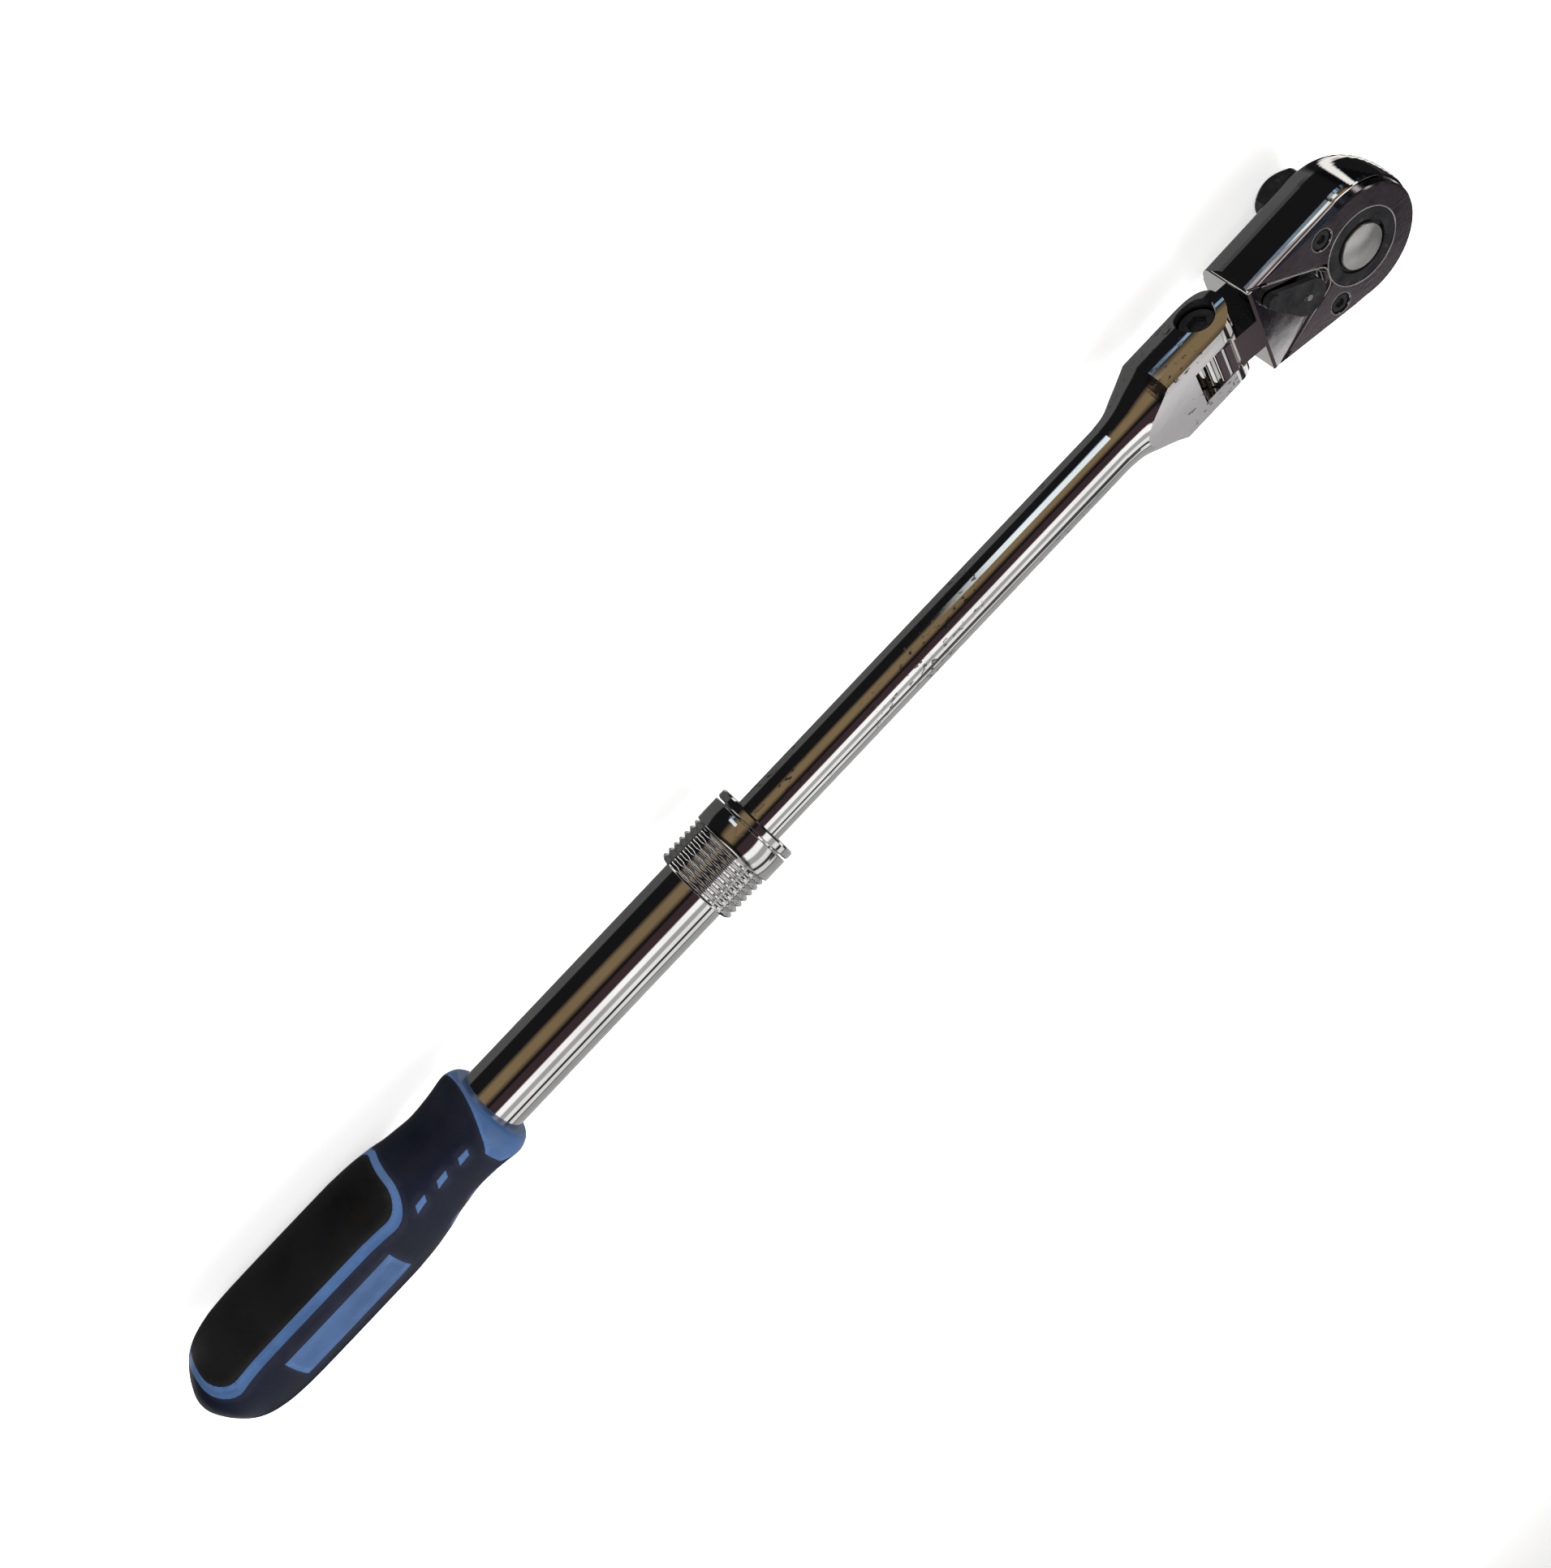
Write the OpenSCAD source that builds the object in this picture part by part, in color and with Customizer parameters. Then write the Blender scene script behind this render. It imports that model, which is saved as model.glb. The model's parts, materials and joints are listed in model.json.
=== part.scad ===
// Telescopic flex-head quick-release ratchet with a 1/2 inch square drive.
// Millimetres. The origin is the centre of the square drive's end face, +X runs
// along the handle towards the head and +Z is the release button's side.

/* [Handle] */
// Length of the grip
grip_l = 109; // [105:1:112]
// Largest diameter of the grip
grip_d = 32.8; // [32:0.2:34]
// Outer diameter of the chrome tube
tube_d = 19.4; // [19.2:0.1:19.6]

/* [Extension] */
// How far the shaft draws out of the tube
travel = 132; // [96:4:132]
// Diameter of the sliding shaft
rod_d = 14.4; // [14:0.1:14.4]
// Number of positions in which the lock balls hold the shaft
lock_stops = 5; // [3:1:7]
// How far the lock sleeve is pulled back to free the shaft
sleeve_pull = 4; // [3:0.5:4]

/* [Flex joint] */
// Angle of the head above the handle's line at rest
flex_at_rest = 7.5; // [0:0.5:15]
// Width of the yoke's slot
slot_w = 11; // [10.6:0.1:11.2]
// Angle between two notches of the knuckle
notch_pitch = 22.5; // [15:7.5:30]

/* [Head] */
// Distance from the flex pivot to the drive's axis
pivot_to_drive = 44.6; // [44.6:0.1:46]
// Height of the button face above the pivot's axis
face_z = 8.6; // [8.4:0.1:8.8]
// Teeth on the drive gear
teeth = 72; // [60:6:84]
// How far the release button goes down
button_travel = 2.5; // [2:0.1:2.5]
// Angle of the reverse lever to each side of the middle
lever_swing = 40; // [30:5:40]

/* [Drive] */
// Size of the square drive across its flats
drive_af = 12.7; // [12.6:0.05:12.8]
// Length of the square
drive_l = 12; // [11.5:0.5:16]
// How far the square is turned about its axis at rest
drive_turn = 0; // [0:5:90]

/* [Hidden] */

$fn = 96;
eps = 0.01;
fit = 0.05;          // radial clearance of a running fit

// Along the handle, x counts from the grip's end.
tube_r = tube_d / 2;
rod_r = rod_d / 2;
bore_r = tube_r - 1.8;
tube_rear_x = grip_l - 97;
plug_l = 4.5;
ball_x = grip_l + 91;
tube_front_x = ball_x + 8.4;
ring_front_x = tube_front_x + 2.6;
step_x = ball_x - 40;
rod_rear_x = step_x - 10;
pivot_x = ring_front_x + travel + 40;
flare_x = pivot_x - 37;
ear_x = pivot_x - 19.5;
slot_x = pivot_x - 10.9;

// Lock
ball_r = 2;
ball_at_r = rod_r + 0.85;
ball_lift = 1.25;
ball_turns = [90, 180];
sleeve_rear_x = ball_x - 13.5;
sleeve_r = 12.4;
rib_r = 12.1;
rib_depth = 0.6;
rib_count = 7;
ribs_l = 14;
pocket_r = 10.85;
sleeve_bore_r = tube_r + 0.08;
ramp_slope = ball_lift / 4;
ramp_r = ball_at_r + ball_r / cos(atan(ramp_slope)) + 0.04;

// Yoke
ear_r = 13.1;
yoke_flat_z = 8.3;
ear_end_l = 8.2;      // how far the ears reach past the pivot
screw_r = 4;
screw_seat_y = 7.2;

// Head, with x from the flex pivot
boss_z = -14.3;
drive_end_z = boss_z - drive_l;
tongue_w = slot_w - 1;
knuckle_r = 9;
ridge_r = 1.75;
head_rear_x = 11.2;
taper = 4.5;         // how much each side narrows towards the rear, in degrees
rise = 4.5;          // how much the underside rises towards the rear, in degrees
plate_under_z = face_z - 2.4;
head_bottom_z = -13.5;
lever_x = pivot_to_drive - 18.6;
gear_tip_r = 12.9;
gear_root_r = 12.2;
hub_r = 10.45;
screw_at = [pivot_to_drive - 10, 11.85];
pawl_shift = lever_swing / 10;
drive_ball_z = boss_z - 5.8;

// Where the pivot lies when the drive's end face is at the origin
pivot_pos = [
    drive_end_z * sin(flex_at_rest) - pivot_to_drive * cos(flex_at_rest),
    0,
    -drive_end_z * cos(flex_at_rest) - pivot_to_drive * sin(flex_at_rest)
];

// ---- Frames and helpers ----

module on_handle() {
    translate([pivot_pos[0] - pivot_x, 0, pivot_pos[2]]) children();
}

module on_head() {
    translate(pivot_pos) rotate([0, -flex_at_rest, 0]) children();
}

module on_drive() {
    on_head() translate([pivot_to_drive, 0, 0]) children();
}

module on_lever() {
    on_head() translate([lever_x, 0, 0]) rotate([0, 0, -lever_swing]) children();
}

// Solid turned about X from [x, radius] points
module turned(points) {
    rotate([0, 90, 0]) rotate_extrude() polygon([for (p = points) [p[1], p[0]]]);
}

// Solid turned about Z from [radius, z] points
module spun(points) {
    rotate_extrude() polygon(points);
}

// Smooth curve through key points
function between(a, b, c, d, t) =
    0.5 * (2 * b + (c - a) * t + (2 * a - 5 * b + 4 * c - d) * t * t
    + (3 * b - a - 3 * c + d) * t * t * t);
function smooth(keys, steps) = let (n = len(keys) - 1) [
    for (i = [0 : n - 1]) for (k = [0 : steps - 1])
        between(keys[max(i - 1, 0)], keys[i], keys[i + 1], keys[min(i + 2, n)], k / steps),
    keys[n]
];

// Points on an arc about [cx, cy]
function arc(cx, cy, r, from, to, steps) = [
    for (k = [0 : steps]) let (a = from + (to - from) * k / steps) [cx + r * cos(a), cy + r * sin(a)]
];

// Points on a quarter ellipse from [cx + a, cz] to [cx, cz + b]
function quarter(cx, cz, a, b, steps) = [
    for (k = [0 : steps]) let (t = 90 * k / steps) [cx + a * cos(t), cz + b * sin(t)]
];

// Helical spring that stands on z = 0
module coil(r, wire_r, height, turns) {
    sides = 6;
    per_turn = 20;
    rings = turns * per_turn;
    rise = height - 2 * wire_r;
    points = [
        for (i = [0 : rings]) for (k = [0 : sides - 1])
            let (
                a = 360 * i / per_turn,
                b = 360 * k / sides,
                reach = r + wire_r * cos(b)
            )
            [reach * cos(a), reach * sin(a), wire_r + rise * i / rings + wire_r * sin(b)]
    ];
    walls = [
        for (i = [0 : rings - 1]) for (k = [0 : sides - 1])
            let (next = (k + 1) % sides, base = i * sides)
            [base + k, base + next, base + sides + next, base + sides + k]
    ];
    first_end = [for (k = [sides - 1 : -1 : 0]) k];
    last_end = [for (k = [0 : sides - 1]) rings * sides + k];
    polyhedron(points, concat(walls, [first_end, last_end]));
}

// ---- Handle ----

module outer_tube() {
    spigot_x = tube_front_x - 2;
    color("silver") on_handle() difference() {
        turned([
            [tube_rear_x, bore_r], [step_x, bore_r], [step_x, rod_r + fit],
            [spigot_x, rod_r + fit], [spigot_x, tube_r - 1.1], [tube_front_x, tube_r - 1.1],
            [tube_front_x, tube_r], [tube_rear_x, tube_r]
        ]);
        for (turn = ball_turns)
            translate([ball_x, 0, 0]) rotate([turn, 0, 0]) cylinder(r = ball_r + 0.06, h = tube_r + 1);
    }
}

module tube_end_plug() {
    color("dimgray") on_handle() turned([
        [tube_rear_x - 1.5, 0], [tube_rear_x + plug_l, 0], [tube_rear_x + plug_l, bore_r - eps],
        [tube_rear_x, bore_r - eps], [tube_rear_x, tube_r], [tube_rear_x - 1.5, tube_r]
    ]);
}

// Grip profile as [x, radius] keys, with the whole surface moved inwards by inset
function grip_keys(inset) = let (
    r = grip_d / 2,
    drops = [
        [0, 13.4], [1, 11.4], [3, 8.7], [5, 6.4], [8, 3.7], [11, 2.1], [15, 1], [20, 0.35], [30, 0],
        [60, 0], [66, 0.15], [72, 0.6], [78, 1.5], [82, 2.4], [86, 2.95], [91, 3.5], [96, 3.3],
        [grip_l - 9, 2.9], [grip_l - 5, 2.3], [grip_l - 3, 2.45], [grip_l - 1, 3.3], [grip_l, 4.4]
    ]
) [for (d = drops) [d[0] + inset * max(0, 1 - d[0] / 15), r - d[1] - inset]];

module grip_form(inset) {
    turned(concat([[inset, 0]], smooth(grip_keys(inset), 4), [[grip_l, 0]]));
}

module grip_bore() {
    turned([
        [tube_rear_x - 1.5, 0], [grip_l + 1, 0], [grip_l + 1, tube_r], [tube_rear_x - 1.5, tube_r]
    ]);
}

// Rounded shape that runs through both sides of the grip, rounder at the rear
module side_window(from_x, to_x, reach, rear_corner, front_corner) {
    rotate([90, 0, 0]) linear_extrude(grip_d + 2, center = true) polygon(concat(
        arc(to_x - front_corner, reach - front_corner, front_corner, 0, 90, 8),
        arc(from_x + rear_corner, reach - rear_corner, rear_corner, 90, 180, 8),
        arc(from_x + rear_corner, rear_corner - reach, rear_corner, 180, 270, 8),
        arc(to_x - front_corner, front_corner - reach, front_corner, 270, 360, 8)
    ));
}

module pad_window(gap) {
    side_window(10.4 + gap, 78.4 - gap, 11.4 - gap, 7.5, 6.5);
}

module border_window() {
    side_window(8.1, 80.4, 13.3, 8.5, 8.5);
}

// Label and small lozenges where the hard core shows between the pads
module label_windows() {
    translate([28, -2.3, 5]) cube([38.5, 8.3, 20]);
    for (turn = [-150, -30, 30, 150], k = [0 : 2])
        rotate([turn, 0, 0]) translate([81.1 + k * 7.9, 0, 5]) linear_extrude(20)
            scale([1, turn == 30 || turn == -150 ? -1 : 1])
                polygon([[2.3, 1], [-1.2, 0.9], [-2.4, -1], [1.3, -0.7]]);
}

// The hard collar in front, which the overmould meets with a rounded nose on each side
module collar_region() {
    nose_x = grip_l - collar_l;
    nose = quarter(nose_x, 0, 7.3, 13.2, 10);
    difference() {
        translate([nose_x, -20, -20]) cube([20, 40, 40]);
        rotate([90, 0, 0]) linear_extrude(60, center = true)
            polygon(concat(nose, [for (k = [10 : -1 : 0]) [2 * nose_x - nose[k][0] - 1, nose[k][1]]],
                [for (k = [1 : 10]) [2 * nose_x - nose[k][0] - 1, -nose[k][1]]],
                [for (k = [10 : -1 : 1]) [nose[k][0], -nose[k][1]]]));
    }
}

skin_t = 1.6;        // thickness of the soft overmould
collar_l = 8;        // length of the hard collar in front of it

module grip_core() {
    color("steelblue") on_handle() difference() {
        union() {
            grip_form(skin_t);
            intersection() {
                grip_form(0);
                union() {
                    collar_region();
                    difference() {
                        border_window();
                        pad_window(0);
                    }
                    label_windows();
                }
            }
        }
        grip_bore();
    }
}

module grip_overmold() {
    color("midnightblue") on_handle() difference() {
        grip_form(0);
        grip_form(skin_t);
        collar_region();
        border_window();
        label_windows();
    }
}

module palm_pads() {
    color("black") on_handle() difference() {
        intersection() {
            grip_form(0);
            pad_window(fit);
        }
        grip_form(skin_t);
    }
}

// ---- Lock collar ----

module lock_sleeve() {
    rib_pitch = ribs_l / rib_count;
    knurl = [
        for (k = [0 : rib_count * 6]) let (x = k * rib_pitch / 6)
            [sleeve_rear_x + x, rib_r - rib_depth + rib_depth * abs(sin(180 * x / rib_pitch))]
    ];
    band_x = sleeve_rear_x + ribs_l;
    shoulder_x = ball_x - 3.5;
    ramp_from_x = ball_x - (ramp_r - sleeve_bore_r) / ramp_slope;
    ramp_to_x = ball_x + 4.5;
    ramp_top_r = ramp_r + 4.5 * ramp_slope;
    front_x = tube_front_x - 0.5;
    color("silver") on_handle() difference() {
        turned(concat(
            knurl,
            [
                [band_x + 0.3, sleeve_r], [front_x - 0.3, sleeve_r], [front_x, sleeve_r - 0.3],
                [front_x, sleeve_bore_r], [ball_x + 6.2, sleeve_bore_r], [ball_x + 6.2, ramp_top_r],
                [ramp_to_x, ramp_top_r], [ramp_from_x, sleeve_bore_r], [shoulder_x, sleeve_bore_r],
                [shoulder_x, pocket_r], [sleeve_rear_x, pocket_r]
            ]
        ));
        // Arrow that shows which way the sleeve is pulled
        rotate([-57, 0, 0]) translate([ball_x + 3.4, 0, sleeve_r - 0.25]) linear_extrude(1) difference() {
            circle(r = 1.7, $fn = 3);
            translate([0.25, 0]) circle(r = 1, $fn = 3);
        }
    }
}

module sleeve_spring() {
    color("gray") on_handle() translate([sleeve_rear_x + 2.6, 0, 0]) rotate([0, 90, 0])
        coil(tube_r + 0.6, 0.35, 7.3, 4);
}

module spring_seat_ring() {
    x = sleeve_rear_x + 1;
    color("dimgray") on_handle() turned([
        [x, tube_r + eps], [x + 1.5, tube_r + eps], [x + 1.5, pocket_r - 0.15], [x, pocket_r - 0.15]
    ]);
}

module lock_ball(turn) {
    on_handle() translate([ball_x, 0, 0]) rotate([turn, 0, 0]) translate([0, 0, ball_at_r]) sphere(r = ball_r);
}

module lock_ball_side() {
    color("lightgray") lock_ball(ball_turns[0]);
}

module lock_ball_under() {
    color("lightgray") lock_ball(ball_turns[1]);
}

module front_ring() {
    color("silver") on_handle() turned([
        [tube_front_x - 1.9, rod_r + 0.9], [tube_front_x - 1.9, tube_r - 1.12], [tube_front_x, tube_r - 1.12],
        [tube_front_x, sleeve_r - 0.4], [tube_front_x + 0.4, sleeve_r], [ring_front_x - 0.5, sleeve_r],
        [ring_front_x, sleeve_r - 0.5], [ring_front_x, rod_r + 0.3], [ring_front_x - 0.6, rod_r + 0.3],
        [ring_front_x - 0.6, rod_r + 0.9]
    ]);
}

module wiper_ring() {
    color("black") on_handle() turned([
        [tube_front_x - 1.5, rod_r + fit], [ring_front_x - 0.7, rod_r + fit],
        [ring_front_x - 0.7, rod_r + 0.85], [tube_front_x - 1.5, rod_r + 0.85]
    ]);
}

// ---- Shaft with the yoke ----

neck_r = 6;
clip_groove_r = 5.4;
plunger_bore_r = 2.6;
plunger_bore_x = slot_x - 20;

module yoke_form() {
    flare = smooth([
        [flare_x, rod_r], [flare_x + 5, rod_r + 0.6], [flare_x + 9.5, rod_r + 2.3],
        [flare_x + 14, rod_r + 4.1], [ear_x, ear_r]
    ], 5);
    intersection() {
        turned(concat(
            [[rod_rear_x, 0], [rod_rear_x, neck_r], [step_x, neck_r], [step_x, rod_r - 0.3], [step_x + 0.3, rod_r]],
            flare,
            [[pivot_x + ear_end_l, ear_r], [pivot_x + ear_end_l, 0]]
        ));
        translate([pivot_x, 0, 0]) rotate([90, 0, 0]) linear_extrude(2 * ear_r + 2, center = true) union() {
            circle(r = yoke_flat_z);
            translate([rod_rear_x - pivot_x - 1, -yoke_flat_z])
                square([pivot_x - rod_rear_x + 1, 2 * yoke_flat_z]);
        }
    }
}

module yoke_shaft() {
    flute_from_x = ball_x - 4;
    flute_l = travel + 8;
    stop_pitch = travel / (lock_stops - 1);
    color("silver") on_handle() difference() {
        yoke_form();
        // Slot between the two ears
        translate([slot_x, -slot_w / 2, -ear_r]) cube([40, slot_w, 2 * ear_r]);
        // Pivot screw's hole and the counterbore for its head
        translate([pivot_x, 0, 0]) rotate([90, 0, 0]) cylinder(r = screw_r, h = 40, center = true);
        translate([pivot_x, screw_seat_y, 0]) rotate([-90, 0, 0]) cylinder(r = 5.5, h = 20);
        // Bore for the flex plunger and its spring
        translate([plunger_bore_x, 0, 0]) rotate([0, 90, 0]) cylinder(r = plunger_bore_r, h = 30);
        // Groove for the guide's clip
        turned([
            [rod_rear_x + 1.4, clip_groove_r], [rod_rear_x + 2.5, clip_groove_r],
            [rod_rear_x + 2.5, rod_r], [rod_rear_x + 1.4, rod_r]
        ]);
        // Flutes in which the lock balls run, with a dimple at each stop
        for (turn = ball_turns) rotate([turn, 0, 0]) {
            translate([flute_from_x, 0, ball_at_r]) rotate([0, 90, 0]) cylinder(r = ball_r + 0.12, h = flute_l);
            for (k = [0 : lock_stops - 1])
                translate([ball_x + k * stop_pitch, 0, ball_at_r - 0.6]) sphere(r = ball_r + 0.1);
        }
    }
}

module rear_guide() {
    color("goldenrod") on_handle() turned([
        [rod_rear_x + 2.6, neck_r + 0.02], [step_x - fit, neck_r + 0.02],
        [step_x - fit, bore_r - fit], [rod_rear_x + 2.6, bore_r - fit]
    ]);
}

module guide_clip() {
    x = rod_rear_x + 1.45;
    color("dimgray") on_handle() difference() {
        turned([[x, clip_groove_r + eps], [x + 1, clip_groove_r + eps], [x + 1, rod_r - 0.1], [x, rod_r - 0.1]]);
        translate([x - 1, -1.5, 0]) cube([3, 3, 10]);
    }
}

module pivot_screw() {
    color("black") on_handle() translate([pivot_x, 0, 0]) rotate([-90, 0, 0]) difference() {
        spun([
            [0, -11.6], [screw_r - 0.5, -11.6], [screw_r - eps, -11.1], [screw_r - eps, -slot_w / 2 - fit],
            [screw_r - fit, -slot_w / 2], [screw_r - fit, screw_seat_y], [5.2, screw_seat_y],
            [5.2, screw_seat_y + 2], [4.8, screw_seat_y + 2.4], [0, screw_seat_y + 2.4]
        ]);
        translate([0, 0, screw_seat_y + 0.4]) cylinder(d = 5 / cos(30), h = 5, $fn = 6);
    }
}

module flex_washers() {
    gap = 0.05;
    color("silver") on_handle() translate([pivot_x, 0, 0]) rotate([90, 0, 0]) for (side = [-1, 1])
        translate([0, 0, side * (slot_w + tongue_w) / 4]) difference() {
            cylinder(r = 8, h = (slot_w - tongue_w) / 2 - 2 * gap, center = true);
            cylinder(r = screw_r + 0.1, h = 5, center = true);
        }
}

module flex_plunger() {
    tip_x = pivot_x - knuckle_r - 0.2;
    r = plunger_bore_r - fit;
    color("gray") on_handle() turned(concat(
        [[tip_x - 9, 0], [tip_x - 9, r], [tip_x - 1.4, r]],
        [[tip_x - 0.5, r - 1.1], [tip_x, r - 1.9], [tip_x, 0]]
    ));
}

module flex_spring() {
    color("gray") on_handle() translate([plunger_bore_x + 0.1, 0, 0]) rotate([0, 90, 0])
        coil(1.95, 0.4, 9.8, 6);
}

// ---- Head ----

// Side wall of the head as [half width, z] points; it runs past both faces
function head_wall() = let (upper = quarter(17, -2, 1.4, plate_under_z + 2, 8)) concat(
    [[15.3, face_z + 1], [16.7, face_z - 0.4]],
    [for (k = [8 : -1 : 0]) upper[k]],
    [for (k = [1 : 11]) quarter(13, -2, 5.4, head_bottom_z + 2, 12)[k]],
    [[12.4, head_bottom_z - 0.2], [11, head_bottom_z - 1]]
);

module head_form() {
    wall = head_wall();
    top_z = wall[0][1];
    low_z = wall[len(wall) - 1][1];
    intersection() {
        translate([pivot_to_drive, 0, 0]) union() {
            spun(concat([[0, top_z]], wall, [[0, low_z]]));
            intersection_for(side = [-1, 1])
                scale([1, side, 1]) rotate([0, rise, taper]) rotate([0, -90, 0]) linear_extrude(50)
                    polygon(concat(
                        [[top_z - 2, -40]], [for (p = wall) [p[1], p[0] - 0.15]], [[low_z, -40]]
                    ));
        }
        translate([-20, -40, head_bottom_z]) cube([100, 80, face_z - head_bottom_z]);
        // Rear corners rounded
        for (side = [-1, 1]) scale([1, side, 1]) linear_extrude(60, center = true) polygon(concat(
            [[80, -1], [-20, -1], [-20, 14]],
            arc(head_rear_x + 1.2, 14, 1.2, 180, 135, 6),
            [[head_rear_x + 8, 22], [80, 22]]
        ));
    }
}

// The part of the head in front of the cover plate's rear edge
module plate_region() {
    linear_extrude(60, center = true) polygon([
        [32.3, 3.3], [32.3, -3.3], [15.3, -13], [11, -15.5], [11, -30],
        [80, -30], [80, 30], [11, 30], [11, 15.5], [15.3, 13]
    ]);
}

module sector(r, half_angle, z_from, z_to) {
    translate([pivot_to_drive, 0, z_from]) linear_extrude(z_to - z_from)
        polygon(concat([[0, 0]], arc(0, 0, r, 180 - half_angle, 180 + half_angle, 16)));
}

// Tongue of the head, with a row of rounded ridges about the pivot
module knuckle() {
    rotate([90, 0, 0]) linear_extrude(tongue_w, center = true) intersection() {
        union() {
            circle(r = knuckle_r - 0.95);
            translate([3.6, -face_z]) square([head_rear_x + 3, 2 * face_z]);
            for (k = [-4 : 5]) rotate(180 + (k - 0.5) * notch_pitch)
                translate([knuckle_r - ridge_r, 0]) circle(r = ridge_r, $fn = 48);
        }
        translate([-20, -face_z]) square([60, 2 * face_z]);
    }
}

module head_body() {
    color("silver") on_head() difference() {
        union() {
            intersection() {
                head_form();
                translate([head_rear_x, -40, -40]) cube(80);
            }
            knuckle();
        }
        // Seat of the cover plate
        intersection() {
            translate([0, -40, plate_under_z]) cube(80);
            plate_region();
        }
        // Top that falls away towards the reverse lever
        translate([head_rear_x + 1, -30, face_z]) rotate([0, 4, 0]) cube([60, 60, 20]);
        // Pivot hole
        rotate([90, 0, 0]) cylinder(r = screw_r + 0.03, h = 40, center = true);
        // Gear chamber and the hole for its lower hub
        translate([pivot_to_drive, 0, -6.6]) cylinder(r = gear_tip_r + 0.25, h = 40);
        translate([pivot_to_drive, 0, -20]) cylinder(r = hub_r + 0.1, h = 30);
        // Pawl pocket, and the deeper part that the selector plunger swings in
        sector(15.6, 40, -5.6, 5.2);
        sector(17.2, 20, -5.6, 5.2);
        // Lever's spindle bore and the recess for its hub
        translate([lever_x, 0, -6]) cylinder(r = 3.25, h = 30);
        translate([lever_x, 0, face_z - 1.6]) cylinder(r = 5.5, h = 10);
        for (side = [-1, 1]) translate([screw_at[0], side * screw_at[1], -3]) cylinder(r = 1.5, h = 20);
    }
}

module cover_plate() {
    color("silver") on_head() difference() {
        intersection() {
            head_form();
            translate([0, -40, plate_under_z]) cube(80);
            translate([0.15, 0, 0]) plate_region();
        }
        // Bevel along the rear edge's two arms
        for (side = [-1, 1]) scale([1, side, 1])
            translate([32.45, 3.3, face_z - 1.3]) rotate([0, 0, atan2(9.7, -17)]) rotate([45, 0, 0])
                translate([-10, 0, 0]) cube([40, 10, 10]);
        translate([32.45, -5, face_z - 1.3]) rotate([0, -45, 0]) translate([-10, 0, 0]) cube([10, 10, 10]);
        translate([pivot_to_drive, 0, 0]) cylinder(r = hub_r + 0.1, h = 40);
        translate([pivot_to_drive, 0, face_z - 0.4]) cylinder(r1 = hub_r + 0.1, r2 = hub_r + 0.6, h = 0.5);
        for (side = [-1, 1]) translate([screw_at[0], side * screw_at[1], 0]) {
            cylinder(r = 1.7, h = 40);
            translate([0, 0, face_z - 1.8]) cylinder(r = 2.9, h = 10);
            translate([0, 0, face_z - 0.3]) cylinder(r1 = 2.9, r2 = 3.3, h = 0.4);
        }
    }
}

module cover_screws() {
    head_z = face_z - 1.8;
    color("dimgray") on_head() for (side = [-1, 1]) translate([screw_at[0], side * screw_at[1], 0]) difference() {
        spun([
            [0, -2.6], [1.49, -2.6], [1.49, head_z], [2.75, head_z], [2.75, head_z + 1.1],
            [2.4, head_z + 1.4], [0, head_z + 1.4]
        ]);
        translate([0, 0, head_z + 0.3]) cylinder(d = 2.5 / cos(30), h = 5, $fn = 6);
    }
}

// ---- Drive ----

module drive_gear() {
    step = 360 / teeth;
    gear_top_z = plate_under_z - 0.1;
    color("#222222") on_drive() difference() {
        union() {
            translate([0, 0, -6.4]) linear_extrude(gear_top_z + 6.4) polygon([
                for (k = [0 : teeth - 1]) for (p = [[gear_root_r, 0], [gear_tip_r, 0.4], [gear_tip_r, 0.6]])
                    [p[0] * cos((k + p[1]) * step), p[0] * sin((k + p[1]) * step)]
            ]);
            cylinder(r = hub_r, h = face_z - 0.15);
            translate([0, 0, boss_z]) cylinder(r = hub_r, h = -boss_z);
            rotate([0, 0, drive_turn]) intersection() {
                translate([-drive_af / 2, -drive_af / 2, drive_end_z]) cube([drive_af, drive_af, drive_l + 1]);
                spun([
                    [0, drive_end_z], [drive_af / 2 - 0.2, drive_end_z], [8.3, drive_end_z + 2.4],
                    [8.3, 0], [0, 0]
                ]);
            }
        }
        // Button's bore, the spring's pocket below it and the stem's bore
        translate([0, 0, 0.9]) cylinder(r = 7.4, h = 20);
        translate([0, 0, face_z - 1.9]) cylinder(r = 8.2, h = 0.9);
        translate([0, 0, -4]) cylinder(r = 4.6, h = 10);
        translate([0, 0, drive_end_z + 1.1]) cylinder(r = 2.6, h = 30);
        rotate([0, 0, drive_turn]) translate([0, 0, drive_ball_z]) rotate([0, -90, 0]) cylinder(r = 2.4, h = 20);
    }
}

module button_retainer() {
    color("black") on_drive() difference() {
        translate([0, 0, face_z - 1.85]) cylinder(r = 8.15, h = 0.8);
        cylinder(r = 6.55, h = 20);
        translate([5, -1, 0]) cube([5, 2, 20]);
    }
}

module release_button() {
    under_z = 3.7;
    shoulder_z = face_z - 2;
    dome = arc(0, shoulder_z + 3.1 - 22, 22, 73.6, 90, 8);
    color("gainsboro") on_drive() spun(concat(
        [
            [0, drive_ball_z - 2.1], [2.2, drive_ball_z - 2.1], [2.5, drive_ball_z - 1.8],
            [2.5, drive_ball_z - 0.4], [1.15, drive_ball_z + 2.3], [1.15, drive_ball_z + 4.1],
            [2.5, drive_ball_z + 5.1], [2.5, under_z], [7.3, under_z], [7.3, shoulder_z - 0.1],
            [6.4, shoulder_z - 0.1], [6.4, shoulder_z + 1.9]
        ],
        dome
    ));
}

module button_spring() {
    color("gray") on_drive() translate([0, 0, -3.9]) coil(3.6, 0.45, 7.4, 4);
}

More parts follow.
